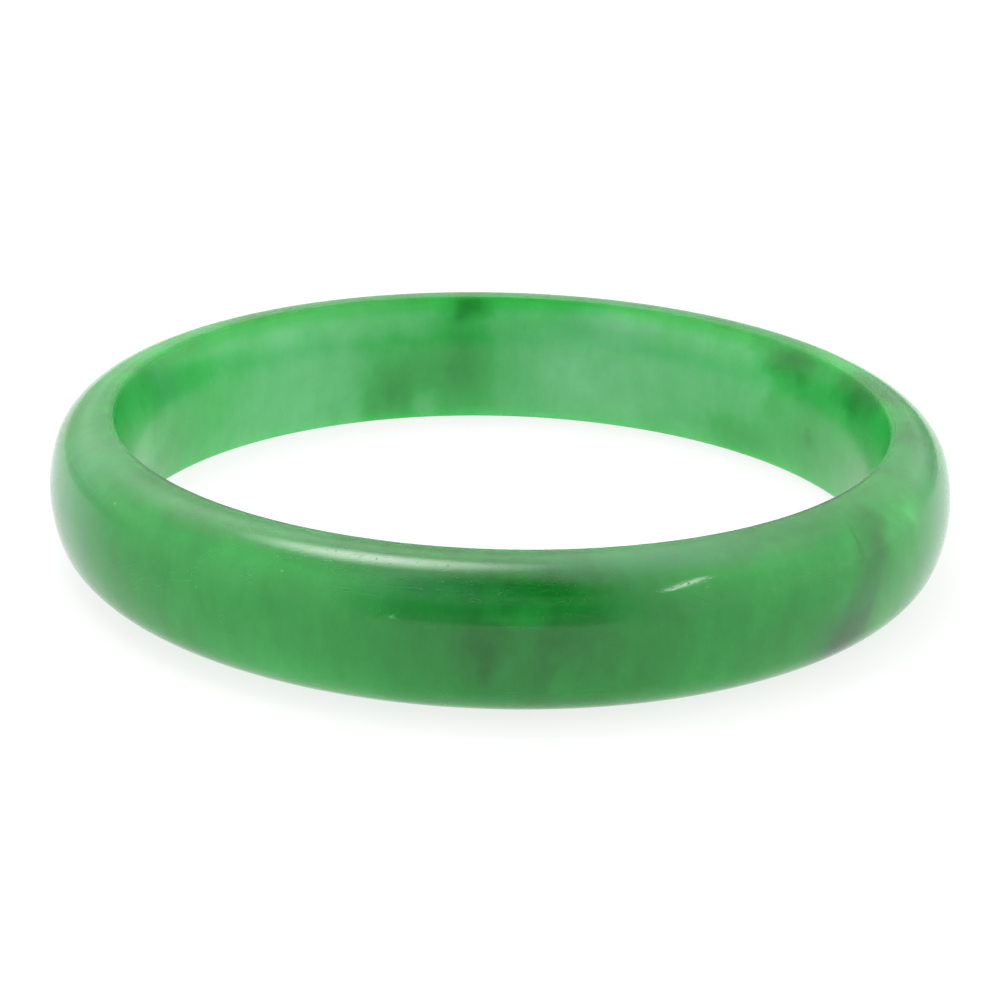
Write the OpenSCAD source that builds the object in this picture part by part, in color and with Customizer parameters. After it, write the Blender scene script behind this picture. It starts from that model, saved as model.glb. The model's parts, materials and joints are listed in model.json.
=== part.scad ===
// Solid stone bangle: one closed ring with a D section.
// The outside is crowned, the bore wall is bowed a little, and both rims are narrow and flat.
// Frame: +Z is the ring's axis, the origin is the middle of the lower rim's plane.

/* [Ring] */
// Bore diameter at its narrowest, the size that a bangle is sold by
bore_d = 57; // [50:0.2:66]
// Thickness of the ring at the middle of its width
ring_t = 5.9; // [5.6:0.1:7]
// Width of the ring along its axis
ring_w = 11; // [9:0.1:11.8]

/* [Section] */
// Radius of the crowned outside across the width
crown_r = 9.25; // [8:0.05:14]
// Radius of the shoulders between the crown and the rims
shoulder_r = 3.7; // [3:0.1:4.2]
// Radius of the bowed bore wall across the width
bow_r = 13.3; // [12.5:0.1:30]
// Width of the straight band at the middle of the bore wall
band_w = 0.4; // [0.2:0.1:3]
// Radius of the edge between the bore wall and each rim
edge_r = 0.3; // [0.2:0.05:0.5]

/* [Hidden] */
$fn = 180;
bore_r = bore_d / 2;
outer_r = bore_r + ring_t;
half_w = ring_w / 2;
clear = 1;

// Centres of the section's arcs, as [distance from the axis, height above the middle of the width].
crown_c = [outer_r - crown_r, 0];
shoulder_h = half_w - shoulder_r;
shoulder_c = [crown_c.x + leg(crown_r - shoulder_r, shoulder_h), shoulder_h];
bow_c = [bore_r + bow_r, band_w / 2];
edge_h = half_w - edge_r;
edge_c = [bow_c.x - leg(bow_r - edge_r, edge_h - bow_c.y), edge_h];

// Heights at which one arc runs into the next without a corner.
crown_top = shoulder_h * crown_r / (crown_r - shoulder_r);
bow_top = bow_c.y + (edge_h - bow_c.y) * bow_r / (bow_r - edge_r);

assert(edge_c.x < shoulder_c.x, "The two arcs at the rim leave no flat between them.");

// The other leg of a right triangle with this hypotenuse.
function leg(hypotenuse, side) = sqrt(hypotenuse ^ 2 - side ^ 2);

// A rectangle between two distances from the axis and two heights.
module window(r0, r1, h0, h1) {
    polygon([[r0, h0], [r1, h0], [r1, h1], [r0, h1]]);
}

// The part of a disc seen through a window.
module disc_part(centre, r, r0, r1, h0, h1) {
    intersection() {
        translate(centre) circle(r);
        window(r0, r1, h0, h1);
    }
}

// The upper half of the section, above the middle of the width.
module half_section() {
    window(edge_c.x, shoulder_c.x, 0, half_w);
    window(bore_r, edge_c.x, 0, bow_c.y);
    disc_part(bow_c, bow_r, bore_r - clear, edge_c.x, bow_c.y, bow_top);
    disc_part(edge_c, edge_r, edge_c.x - clear, edge_c.x, bow_top, half_w + clear);
    disc_part(crown_c, crown_r, shoulder_c.x, outer_r + clear, 0, crown_top);
    disc_part(shoulder_c, shoulder_r, shoulder_c.x, outer_r + clear, crown_top, half_w + clear);
}

module bangle_ring() {
    color("mediumseagreen")
        translate([0, 0, half_w])
            rotate_extrude() {
                half_section();
                mirror([0, 1]) half_section();
            }
}

bangle_ring();
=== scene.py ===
"""A polished green jade bangle lying on its rim, seen from the front and a little above."""
import json
import math

import bpy
from mathutils import Matrix, Vector


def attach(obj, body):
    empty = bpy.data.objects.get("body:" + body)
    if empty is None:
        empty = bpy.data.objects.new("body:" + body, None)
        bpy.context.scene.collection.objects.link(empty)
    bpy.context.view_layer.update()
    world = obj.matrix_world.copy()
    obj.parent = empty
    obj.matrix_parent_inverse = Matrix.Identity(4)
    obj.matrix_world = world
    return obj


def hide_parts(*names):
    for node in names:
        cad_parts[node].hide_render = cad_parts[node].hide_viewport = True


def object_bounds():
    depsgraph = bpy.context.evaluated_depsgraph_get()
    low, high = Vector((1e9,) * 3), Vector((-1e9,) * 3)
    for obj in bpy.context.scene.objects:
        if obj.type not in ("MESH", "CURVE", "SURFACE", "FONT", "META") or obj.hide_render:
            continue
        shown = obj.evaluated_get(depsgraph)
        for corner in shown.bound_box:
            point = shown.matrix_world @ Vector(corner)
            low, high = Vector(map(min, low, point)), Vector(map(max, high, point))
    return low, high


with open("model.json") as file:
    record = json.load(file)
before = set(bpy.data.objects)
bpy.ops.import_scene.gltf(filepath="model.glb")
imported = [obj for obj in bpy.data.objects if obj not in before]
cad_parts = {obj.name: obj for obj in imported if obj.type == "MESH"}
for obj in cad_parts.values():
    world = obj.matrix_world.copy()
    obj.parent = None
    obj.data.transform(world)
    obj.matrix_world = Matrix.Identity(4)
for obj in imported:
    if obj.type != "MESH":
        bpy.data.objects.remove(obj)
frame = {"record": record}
cad_low, cad_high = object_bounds()

# The ring's sizes, in metres: the outside from the CAD box, the bore from the record's mount.
MOUNTS = {mount["name"]: mount for mount in frame["record"]["mounts"]}
OUTER_R = (cad_high.x - cad_low.x) / 2
WIDTH = cad_high.z - cad_low.z
BORE_R = MOUNTS["bore"]["dims"]["r_mm"] / 1000
BAND = MOUNTS["bore"]["dims"]["length_mm"] / 1000
MIDDLE_Z = WIDTH / 2
MM = 0.001

# The section's arcs, as in the CAD model.
CROWN_R = 9.25 * MM
SHOULDER_R = 3.7 * MM
BOW_R = 13.3 * MM
EDGE_R = 0.3 * MM

# How finely the ring is cut: steps round it, and the length of a step along its section.
RING_STEPS = 640
ARC_STEP = 0.3 * MM

# The stone's tone without its clouds: on the front, at the back with painted light shining through the
# stone from behind, and what the outside at the back loses of that painted light.
FRONT_TONE = 0.30
BACK_TONE_WITH_PAINTED_LIGHT = 0.78
OUTSIDE_LOSS = 0.26

# Painted shade on the upper rim, where less light falls from above: the share of the tone left on its
# front, at its ends, and at the top of the bore wall.
RIM_FRONT = 0.3
RIM_ENDS = 0.72
RIM_BORE = 0.62

# The rounded edges between the bore wall and the rims: their distance from the axis in mm, and the share of
# the tone that they lose to painted shade, which dims their highlight.
EDGE_AT = 29.75
EDGE_PAINTED_SHADE = 0.35

# How far noise bends the clouds: in degrees round the ring, and in mm outwards and upwards.
BEND = (5, 1.5, 2.4)

# The polish: the plain roughness, and what wear, polishing lines, the bore wall and the edges add.
POLISH = 0.055
WORN = 0.07
LINED = 0.03
BORE_DULL = 0.12
EDGE_DULL = 0.3

# Heights of the surface's relief, in mm.
WAVES = 0.02
LINES = 0.001
GRAIN = 0.002
PITS = -0.012
SCRATCHES = -0.012

# The jade's colours by tone, from its darkest clouds to its milky ones.
TONES = [
    (0.0, (0.003, 0.12, 0.008, 1)),
    (0.33, (0.012, 0.295, 0.040, 1)),
    (0.67, (0.052, 0.47, 0.100, 1)),
    (1.0, (0.19, 0.61, 0.28, 1)),
]
MIST = (0.085, 0.27, 0.16, 1)
SMOKE = (0.035, 0.06, 0.055, 1)
FLECK = (0.3, 0.6, 0.36, 1)
# Painted shade for the bore's edges on the front.
FRONT_EDGE_PAINTED_SHADE = (0.012, 0.06, 0.022, 1)

# The tent: its wall's radiance, what is missing from it low down on the left and on the right, and the
# half widths in degrees at which its opening on the camera's side ends and is fully open.
WALL = 1.4
LOW_LEFT = -0.65
LOW_RIGHT = -0.95
OPENING_ENDS = 48
OPENING_FULL = 17

# The white table: half its width in metres, how much light it sends back, and how much it glows.
TABLE_HALF = 3.0
TABLE_SHADE = 0.2
TABLE_GLOW = 0.8

# Soft glows on the tent's roof, as seen on a level sheet 1 m overhead: the middle, the half sizes, the
# lean in degrees, how far out the glow stays even, and its radiance, below 0 where the roof is darker.
GLOWS = [
    ((-0.24, 0.31, 1), (0.40, 0.42, 1), 0, 0.0, 9.5),
    ((-0.40, 0.80, 1), (1.0, 1.2, 1), 0, 0.0, 1.15),
    ((0.60, 0.35, 1), (0.7, 0.7, 1), 0, 0.0, 0.8),
    ((1.10, -0.10, 1), (0.9, 0.7, 1), 0, 0.0, 0.4),
    ((0.20, 2.90, 1), (1.6, 1.9, 1), 0, 0.3, -0.45),
    ((1.0, -0.78, 1), (0.055, 0.48, 1), 19, 0.7, 11),
]

# How much of the tent's light is left up the middle of its opening: elevation over 90 degrees, and share.
OPENING = [
    (0.0, 0.28),
    (0.07, 0.26),
    (0.13, 0.08),
    (0.18, 0.08),
    (0.24, 0.17),
    (0.415, 0.20),
    (0.435, 0.02),
    (0.69, 0.02),
    (0.84, 0.45),
    (0.97, 1.0),
]


class Shader:
    """Adds nodes to one material or world, so that each call below reads as one step."""

    def __init__(self, tree):
        self.tree = tree
        tree.nodes.clear()

    def add(self, kind, inputs, **settings):
        node = self.tree.nodes.new("ShaderNode" + kind)
        for name, value in settings.items():
            setattr(node, name, value)
        for key, value in inputs.items():
            if isinstance(value, bpy.types.NodeSocket):
                self.tree.links.new(value, node.inputs[key])
            else:
                node.inputs[key].default_value = value
        return node

    def math(self, operation, *values):
        return self.add("Math", dict(enumerate(values)), operation=operation).outputs[0]

    def vector(self, operation, *values):
        return self.add("VectorMath", dict(enumerate(values)), operation=operation).outputs[0]

    def stretched(self, where, scale):
        return self.vector("MULTIPLY", where, scale)

    def turned(self, where, axis, degrees):
        inputs = {"Vector": where, "Angle": math.radians(degrees)}
        return self.add("VectorRotate", inputs, rotation_type=axis).outputs[0]

    def length(self, vector):
        return self.add("VectorMath", {0: vector}, operation="LENGTH").outputs["Value"]

    def noise(self, where, size, detail=3, roughness=0.5):
        """Cloudy noise from 0 to 1, whose largest clouds are about this size."""
        inputs = {"Vector": where, "Scale": 1 / size, "Detail": detail, "Roughness": roughness}
        return self.add("TexNoise", inputs).outputs["Fac"]

    def smooth(self, value, start, end, low=0.0, high=1.0):
        """Runs smoothly from low to high as the value goes from start to end."""
        inputs = {0: value, 1: start, 2: end, 3: low, 4: high}
        return self.add("MapRange", inputs, interpolation_type="SMOOTHSTEP").outputs[0]

    def ramp(self, value, stops):
        """The colour at this value along a list of places and colours."""
        node = self.add("ValToRGB", {"Fac": value})
        points = node.color_ramp.elements
        while len(points) < len(stops):
            points.new(1.0)
        for point, (place, colour) in zip(points, stops):
            point.position = place
            point.color = colour
        return node.outputs["Color"]

    def swing(self, noise, amount, middle):
        """Noise of this amount round the middle: half of it below at 0, half of it above at 1."""
        return self.math("MULTIPLY_ADD", self.math("SUBTRACT", noise, 0.5), amount, middle)

    def mix(self, share, first, second):
        inputs = {0: share, 6: first, 7: second}
        return self.add("Mix", inputs, data_type="RGBA").outputs[2]


def leg(hypotenuse, side):
    """The other leg of a right triangle."""
    return math.sqrt(hypotenuse**2 - side**2)


def arc(centre, radius, start, end):
    """Points along an arc in the section, its end left out; angles are in radians."""
    steps = max(6, round(abs(end - start) * radius / ARC_STEP))
    angles = [start + (end - start) * i / steps for i in range(steps)]
    return [(centre[0] + radius * math.cos(a), centre[1] + radius * math.sin(a)) for a in angles]


def line(start, end):
    """Points along a straight stretch of the section, its end left out."""
    steps = max(1, round(math.dist(start, end) / ARC_STEP))
    return [
        (start[0] + (end[0] - start[0]) * i / steps, start[1] + (end[1] - start[1]) * i / steps)
        for i in range(steps)
    ]


def half_section():
    """From the middle of the crown, over the upper rim, to the middle of the bore wall."""
    half = WIDTH / 2
    shoulder_h = half - SHOULDER_R
    edge_h = half - EDGE_R
    crown = (OUTER_R - CROWN_R, 0)
    shoulder = (crown[0] + leg(CROWN_R - SHOULDER_R, shoulder_h), shoulder_h)
    bow = (BORE_R + BOW_R, BAND / 2)
    edge = (bow[0] - leg(BOW_R - EDGE_R, edge_h - bow[1]), edge_h)
    crown_turn = math.asin(shoulder_h / (CROWN_R - SHOULDER_R))
    bow_turn = math.pi - math.asin((edge_h - bow[1]) / (BOW_R - EDGE_R))
    points = arc(crown, CROWN_R, 0, crown_turn)
    points += arc(shoulder, SHOULDER_R, crown_turn, math.pi / 2)
    points += line((shoulder[0], half), (edge[0], half))
    points += arc(edge, EDGE_R, math.pi / 2, bow_turn)
    points += arc(bow, BOW_R, bow_turn, math.pi)
    points += line((BORE_R, BAND / 2), (BORE_R, 0))
    return points + [(BORE_R, 0)]


def section():
    """The whole closed outline of the section, once round."""
    upper = half_section()
    lower = [(r, -h) for r, h in reversed(upper[1:-1])]
    return upper + lower


def jade_ring():
    """The carved ring, swept round its axis."""
    outline = section()
    count = len(outline)
    points = []
    for i in range(RING_STEPS):
        turn = math.tau * i / RING_STEPS
        points += [(r * math.cos(turn), r * math.sin(turn), MIDDLE_Z + h) for r, h in outline]
    faces = []
    for i in range(RING_STEPS):
        here, there = i * count, (i + 1) % RING_STEPS * count
        for j in range(count):
            k = (j + 1) % count
            faces.append((here + j, there + j, there + k, here + k))
    mesh = bpy.data.meshes.new("jade_ring")
    mesh.from_pydata(points, [], faces)
    mesh.shade_smooth()
    ring = bpy.data.objects.new("jade_ring", mesh)
    bpy.context.scene.collection.objects.link(ring)
    ring.data.materials.append(jade())
    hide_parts("bangle_ring")
    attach(ring, "root")


# Clouds placed in the stone: azimuth in degrees from +X towards +Y, distance from the axis and
# height of the middle in mm, half sizes along, up and deep in mm, lean in degrees, and the change of tone.
CLOUDS = [
    # Outside, on the front.
    (241, 33, 6, 12, 14, 8, 0, 0.13),
    (275, 33, 6, 13, 14, 8, 0, -0.11),
    (268.5, 34, 6, 3.0, 6.0, 4, 0, -0.13),
    (268.5, 34, 6.4, 1.6, 2.4, 3, 0, -0.05),
    (269, 34, 4.0, 1.1, 1.0, 3, 0, -0.09),
    (276, 34, 4.8, 1.2, 4.5, 3, 0, -0.10),
    (273, 34, 7.9, 3.5, 1.0, 3, 0, 0.13),
    (268, 32.5, 10, 16, 1.6, 4, 0, -0.16),
    (302, 33.5, 8.5, 6, 4, 5, 0, 0.08),
    (315, 33.5, 3, 5, 4, 5, 0, -0.27),
    (319.5, 33, 7, 3, 7, 5, 8, -0.22),
    (331, 33.5, 9.4, 2, 1.4, 4, 0, 0.18),
    (345, 33, 9.9, 3, 1.6, 4, 0, -0.12),
    (351.5, 31, 10.9, 4, 3, 3, 0, -0.2),
    (8.5, 31, 10.9, 4, 3, 3, 0, -0.2),
    (330, 33, 8, 8, 5, 5, 0, 0.06),
    (259, 34, 7.7, 0.5, 0.2, 1, 0, 0.5),
    (250, 34, 2, 12, 2.5, 5, 0, 0.08),
    (318, 33.2, 9.5, 0.25, 1.8, 2, 4, -0.15),
    # Outside, at the back.
    (150, 33, 7, 9, 5, 5, 20, -0.22),
    (118, 33, 3, 12, 4, 5, -10, -0.16),
    (82, 33.5, 8, 6, 3, 4, 15, -0.25),
    (60, 33, 4, 8, 6, 5, 0, 0.14),
    (35, 33.5, 6, 5, 7, 4, 12, -0.24),
    (12, 33, 4, 6, 4, 4, 0, -0.12),
    # In the bore, at the back.
    (128, 29, 5, 10, 12, 5, 0, 0.10),
    (130, 28.5, 8.4, 4, 1.6, 4, 0, 0.06),
    (172, 28.5, 5, 5, 8, 4, 0, 0.18),
    (109, 28.5, 3.5, 4.5, 6, 4, 0, -0.37),
    (97.5, 28.5, 4.8, 5, 7, 4, 0, -0.33),
    (104, 28.5, 2, 2, 2.4, 3, 0, 0.15),
    (96, 29, 10.3, 3.0, 2.2, 4, 0, -0.46),
    (75, 28.5, 3.3, 6, 4.5, 4, 0, 0.14),
    (73, 28.5, 7.4, 5, 1.2, 3, 0, 0.08),
    (72, 29, 7, 18, 10, 5, 0, 0.12),
    (71, 29.2, 10.2, 6, 2, 3, 0, 0.22),
    (46, 28.5, 1.6, 7, 3.4, 4, 0, -0.20),
    (36, 29, 10, 5.5, 2.4, 4, 0, -0.42),
    (30, 28.5, 6, 6, 10, 4, 0, -0.14),
    (28, 28.5, 4.2, 1.8, 1.4, 3, 0, -0.16),
    (16, 29.5, 10.2, 6, 3.2, 4, 0, -0.38),
    (38, 28.5, 5.5, 2, 2, 3, 0, -0.10),
    # In the bore, on the front.
    (205, 28.5, 4, 7, 5, 4, 15, -0.15),
    (235, 28.5, 6, 8, 4, 4, 0, 0.15),
    (300, 28.5, 4, 9, 5, 4, -12, 0.16),
    (335, 28.5, 7, 6, 4, 4, 0, -0.14),
]

# Greyish mist and a smoky stain, placed in the same way; the last number is how much they cover.
MISTS = [
    (203, 33, 6, 10, 9, 6, 0, 0.5),
    (344, 33, 6, 9, 9, 6, 0, 0.5),
    (317, 33.5, 4.5, 6, 5, 5, 10, 0.22),
    (262, 33.5, 9.4, 9, 1.6, 3, 0, 0.25),
    (290, 31.5, 10.6, 14, 1.4, 3, 0, 0.35),
    (72, 29, 9.5, 7, 3, 4, 0, 0.2),
    (160, 29, 8.5, 4, 3, 3, 0, 0.3),
    (150, 33.5, 3, 7, 3, 4, 0, 0.4),
]
STAINS = [
    (314.8, 34, 1.9, 2.7, 1.8, 4, 10, 0.52),
    (165, 34, 4, 2.5, 1.6, 3, 25, 0.5),
]


def unrolled(shader, where):
    """Azimuth in degrees from 0 to 360, distance from the axis in mm, and height in mm, as one vector."""
    axes = shader.add("SeparateXYZ", {0: where}).outputs
    across = shader.math("MULTIPLY", axes["X"], -1.0)
    away = shader.math("MULTIPLY", axes["Y"], -1.0)
    azimuth = shader.math("ARCTAN2", away, across)
    azimuth = shader.math("MULTIPLY_ADD", azimuth, math.degrees(1), 180.0)
    radius = shader.length(shader.vector("MULTIPLY", where, (1, 1, 0)))
    return shader.add("CombineXYZ", {0: azimuth, 1: radius, 2: axes["Z"]}).outputs[0]


def cloud(shader, spot, azimuth, radius, height, along, up, deep, lean, most):
    """The most in the middle of a soft ellipsoid in the stone, falling to 0 at its edge."""
    span = math.degrees(along / radius)
    if lean:
        climb = shader.add("SeparateXYZ", {0: spot}).outputs["Z"]
        shift = shader.math("MULTIPLY", shader.math("SUBTRACT", climb, height), lean / 10)
        spot = shader.vector("SUBTRACT", spot, shader.add("CombineXYZ", {0: shift}).outputs[0])
    scale = (1 / span, 1 / deep, 1 / up)
    start = (-azimuth / span, -radius / deep, -height / up)
    distance = shader.length(shader.vector("MULTIPLY_ADD", spot, scale, start))
    return shader.smooth(distance, 1, 0, 0.0, most)


def clouds(shader, spot, table, start):
    """The start with every cloud of a table added."""
    total = start
    for row in table:
        total = shader.math("ADD", total, cloud(shader, spot, *row))
    return total


def specks(shader, where, spacing, size, share):
    """1 in the middle of small round specks, of which only some cells hold one."""
    cells = shader.add("TexVoronoi", {"Vector": where, "Scale": 1 / spacing}).outputs
    pick = shader.add("SeparateXYZ", {0: cells["Color"]}).outputs
    wanted = shader.math("GREATER_THAN", share, pick["X"])
    return shader.math("MULTIPLY", shader.smooth(cells["Distance"], size / spacing, 0), wanted)


def scratches(shader, where):
    """1 along short hairlines left by wear, most of them along the ring and some across it."""
    total = 0.0
    for axis, degrees, scale in (("Z_AXIS", 0, (0.12, 0.12, 1.6)), ("X_AXIS", 38, (0.9, 0.15, 1.6))):
        lie = shader.stretched(shader.turned(where, axis, degrees), scale)
        hairs = shader.math("ABSOLUTE", shader.math("SUBTRACT", shader.noise(lie, 1, detail=1), 0.5))
        patch = shader.smooth(shader.noise(lie, 2.5, detail=2), 0.56, 0.66)
        total = shader.math("MULTIPLY_ADD", shader.smooth(hairs, 0.006, 0), patch, total)
    return total


def edge_of(shader, radius):
    """1 along the rounded edges between the bore wall and the rims."""
    off = shader.math("ABSOLUTE", shader.math("SUBTRACT", radius, EDGE_AT))
    return shader.smooth(off, 0.3, 0.1)


def tone_with_painted_backlight(shader, axes, radius):
    """The tone without clouds, with painted light: paler towards the back, where light shining through the
    stone from behind is painted in, and there less pale outside than in the bore.
    """
    tone = shader.smooth(axes["Y"], -4, 24, FRONT_TONE, BACK_TONE_WITH_PAINTED_LIGHT)
    outside = shader.smooth(radius, 29.8, 32.5, 0.0, -OUTSIDE_LOSS)
    return shader.math("MULTIPLY_ADD", outside, shader.smooth(axes["Y"], 12, 26), tone)


def rim_painted_shade(shader, axes, radius, edge):
    """Painted shade: how much of the tone is left towards the upper rim and along the bore's edges."""
    ends = shader.smooth(shader.math("ABSOLUTE", axes["X"]), 20, 29, RIM_FRONT, RIM_ENDS)
    least = shader.smooth(radius, 29.3, 29.7, RIM_BORE, ends)
    rim = shader.smooth(axes["Z"], 9.3, 11.1, 1.0, least)
    # Painted shade along the bore's edges.
    return shader.math("MULTIPLY", rim, shader.math("MULTIPLY_ADD", edge, -EDGE_PAINTED_SHADE, 1.0))


def tone_of(shader, where, spot, edge):
    """The stone's tone from 0 to 1: the tone with painted light at the back, bent clouds, a rim darkened by
    painted shade, painted light low down and a feathery grain.
    """
    axes = shader.add("SeparateXYZ", {0: where}).outputs
    radius = shader.add("SeparateXYZ", {0: spot}).outputs["Y"]
    bent = shader.add("TexNoise", {"Vector": where, "Scale": 0.4, "Detail": 3}).outputs["Color"]
    bend = shader.vector("MULTIPLY_ADD", bent, BEND, tuple(-most / 2 for most in BEND))
    tone = clouds(shader, shader.vector("ADD", spot, bend), CLOUDS, tone_with_painted_backlight(shader, axes, radius))
    tone = shader.math("MULTIPLY", tone, rim_painted_shade(shader, axes, radius, edge))
    # Painted light low down, from the glowing table shining up through the stone.
    tone = shader.math("ADD", tone, shader.smooth(axes["Z"], 3, 0.6, 0.0, 0.02))
    tone = shader.swing(shader.noise(where, 5, detail=3), 0.26, tone)
    feather = shader.noise(shader.stretched(where, (1, 1, 0.45)), 1.6, detail=5, roughness=0.65)
    return shader.swing(feather, 0.2, tone)


def colour_of(shader, where, spot, edge):
    """The stone's colour: its tones, mist, smoky stains, pale flecks and painted shade along the bore's
    edges on the front.
    """
    colour = shader.ramp(tone_of(shader, where, spot, edge), TONES)
    colour = shader.mix(clouds(shader, spot, MISTS, 0.0), colour, MIST)
    colour = shader.mix(clouds(shader, spot, STAINS, 0.0), colour, SMOKE)
    flecks = specks(shader, where, 3, 0.16, 0.3)
    colour = shader.mix(shader.math("MULTIPLY", flecks, 0.35), colour, FLECK)
    # Painted shade along the bore's edges, on the front only.
    front = shader.smooth(shader.add("SeparateXYZ", {0: where}).outputs["Y"], -9, -20)
    return shader.mix(shader.math("MULTIPLY", edge, front), colour, FRONT_EDGE_PAINTED_SHADE)


def roughness_of(shader, where, radius, edge, lines):
    """The polish, duller where it is worn, in the bore and along the bore's edges."""
    wear = shader.noise(where, 4, detail=3)
    rough = shader.math("MULTIPLY_ADD", wear, WORN, POLISH)
    rough = shader.math("MULTIPLY_ADD", lines, LINED, rough)
    rough = shader.math("ADD", rough, shader.smooth(radius, 29.9, 29.6, 0.0, BORE_DULL))
    return shader.math("MULTIPLY_ADD", edge, EDGE_DULL, rough)


def relief(shader, where, lines):
    """The surface's height in mm: slow waves, polishing lines, a fine grain, pits and scratches."""
    height = shader.math("MULTIPLY", shader.noise(where, 7, detail=1), WAVES)
    height = shader.math("MULTIPLY_ADD", lines, LINES, height)
    height = shader.math("MULTIPLY_ADD", shader.noise(where, 0.15, detail=2), GRAIN, height)
    height = shader.math("MULTIPLY_ADD", specks(shader, where, 0.3, 0.08, 0.35), PITS, height)
    return shader.math("MULTIPLY_ADD", scratches(shader, where), SCRATCHES, height)


def jade():
    """Mottled green jade, cloudy inside and polished outside."""
    material = bpy.data.materials.new("jade")
    material.use_nodes = True
    shader = Shader(material.node_tree)
    place = shader.add("TexCoord", {}).outputs["Object"]
    where = shader.stretched(place, (1 / MM, 1 / MM, 1 / MM))
    spot = unrolled(shader, where)
    radius = shader.add("SeparateXYZ", {0: spot}).outputs["Y"]
    edge = edge_of(shader, radius)
    lines = shader.noise(shader.stretched(where, (0.15, 0.15, 6)), 1, detail=4, roughness=0.6)
    height = relief(shader, where, lines)
    bump = shader.add("Bump", {"Height": height, "Strength": 1.0, "Distance": MM})
    surface = shader.add(
        "BsdfPrincipled",
        {
            "Base Color": colour_of(shader, where, spot, edge),
            "Roughness": roughness_of(shader, where, radius, edge, lines),
            "IOR": 1.5,
            "Normal": bump.outputs["Normal"],
            "Subsurface Weight": 1.0,
            "Subsurface Radius": (0.5, 1.0, 0.6),
            "Subsurface Scale": 4 * MM,
        },
        subsurface_method="RANDOM_WALK",
    )
    shader.add("OutputMaterial", {"Surface": surface.outputs[0]})
    return material


def camera():
    """A long lens close above the table, aimed a little below the ring's middle and slightly rolled."""
    elevation = math.radians(20.08)
    aim_below = 0.0100
    roll = 0.0268
    distance = 6.0727 * OUTER_R
    back = Vector((0, -math.cos(elevation), math.sin(elevation)))
    place = Vector((0, 0, MIDDLE_Z)) + back * distance
    look = (-back).to_track_quat("-Z", "Y").to_matrix().to_4x4()
    data = bpy.data.cameras.new("camera")
    data.sensor_width = 36
    data.lens = 97.25
    data.clip_start = 0.01
    data.clip_end = 20
    eye = bpy.data.objects.new("camera", data)
    tilt = Matrix.Rotation(-aim_below, 4, "X")
    eye.matrix_world = Matrix.Translation(place) @ look @ tilt @ Matrix.Rotation(roll, 4, "Z")
    bpy.context.scene.collection.objects.link(eye)
    bpy.context.scene.camera = eye


def wall_light(shader, axes, azimuth, elevation):
    """The radiance of the tent's wall: dim up the middle of the opening, darker low down at the back."""
    degree = math.radians(1)
    side = shader.math("ABSOLUTE", azimuth)
    across = shader.smooth(side, OPENING_ENDS * degree, OPENING_FULL * degree)
    up = shader.math("DIVIDE", elevation, 90 * degree)
    left = shader.ramp(up, [(place, (share, share, share, 1)) for place, share in OPENING])
    lost = shader.math("MULTIPLY", across, shader.math("SUBTRACT", 1.0, left))
    wall = shader.math("MULTIPLY", shader.math("SUBTRACT", 1.0, lost), WALL)

    low = shader.smooth(elevation, 22 * degree, 5 * degree)
    behind = shader.math("ABSOLUTE", shader.math("SUBTRACT", azimuth, 15 * degree))
    behind = shader.smooth(behind, 95 * degree, 140 * degree)
    depth = shader.smooth(axes["X"], -0.6, 0.6, LOW_LEFT, LOW_RIGHT)
    return shader.math("MULTIPLY_ADD", shader.math("MULTIPLY", low, behind), depth, wall)


def roof_light(shader, direction, height, strength):
    """The strength with every glow of the roof added."""
    height = shader.math("MAXIMUM", height, 0.05)
    heights = shader.add("CombineXYZ", {0: height, 1: height, 2: height}).outputs[0]
    overhead = shader.vector("DIVIDE", direction, heights)
    for middle, size, lean, core, radiance in GLOWS:
        offset = shader.vector("SUBTRACT", overhead, middle)
        turned = shader.turned(offset, "Z_AXIS", -lean)
        distance = shader.length(shader.vector("DIVIDE", turned, size))
        strength = shader.math("ADD", strength, shader.smooth(distance, 1, core, 0.0, radiance))
    return strength


def tent():
    """A white light tent; azimuth in it is measured from -Y, the camera's side, towards +X."""
    world = bpy.data.worlds.new("tent")
    world.use_nodes = True
    bpy.context.scene.world = world
    shader = Shader(world.node_tree)
    direction = shader.add("TexCoord", {}).outputs["Generated"]
    axes = shader.add("SeparateXYZ", {0: direction}).outputs
    azimuth = shader.math("ARCTAN2", axes["X"], shader.math("MULTIPLY", axes["Y"], -1.0))
    elevation = shader.math("ARCSINE", axes["Z"])
    wall = wall_light(shader, axes, azimuth, elevation)
    strength = roof_light(shader, direction, axes["Z"], wall)
    light = shader.add("Background", {"Color": (1, 1, 1, 1), "Strength": strength})
    shader.add("OutputWorld", {"Surface": light.outputs[0]})


def floor():
    """A plain white table that glows a little, as a lit one does."""
    half = TABLE_HALF
    corners = [(-half, -half, 0), (half, -half, 0), (half, half, 0), (-half, half, 0)]
    mesh = bpy.data.meshes.new("floor")
    mesh.from_pydata(corners, [], [(0, 1, 2, 3)])
    material = bpy.data.materials.new("floor")
    material.use_nodes = True
    shader = Shader(material.node_tree)
    surface = shader.add(
        "BsdfPrincipled",
        {
            "Base Color": (TABLE_SHADE, TABLE_SHADE, TABLE_SHADE, 1),
            "Roughness": 1.0,
            "Specular IOR Level": 0.0,
            "Emission Color": (1, 1, 1, 1),
            "Emission Strength": TABLE_GLOW,
        },
    )
    shader.add("OutputMaterial", {"Surface": surface.outputs[0]})
    mesh.materials.append(material)
    table = bpy.data.objects.new("floor", mesh)
    bpy.context.scene.collection.objects.link(table)


bpy.context.scene.view_settings.view_transform = "Standard"
jade_ring()
floor()
tent()
camera()
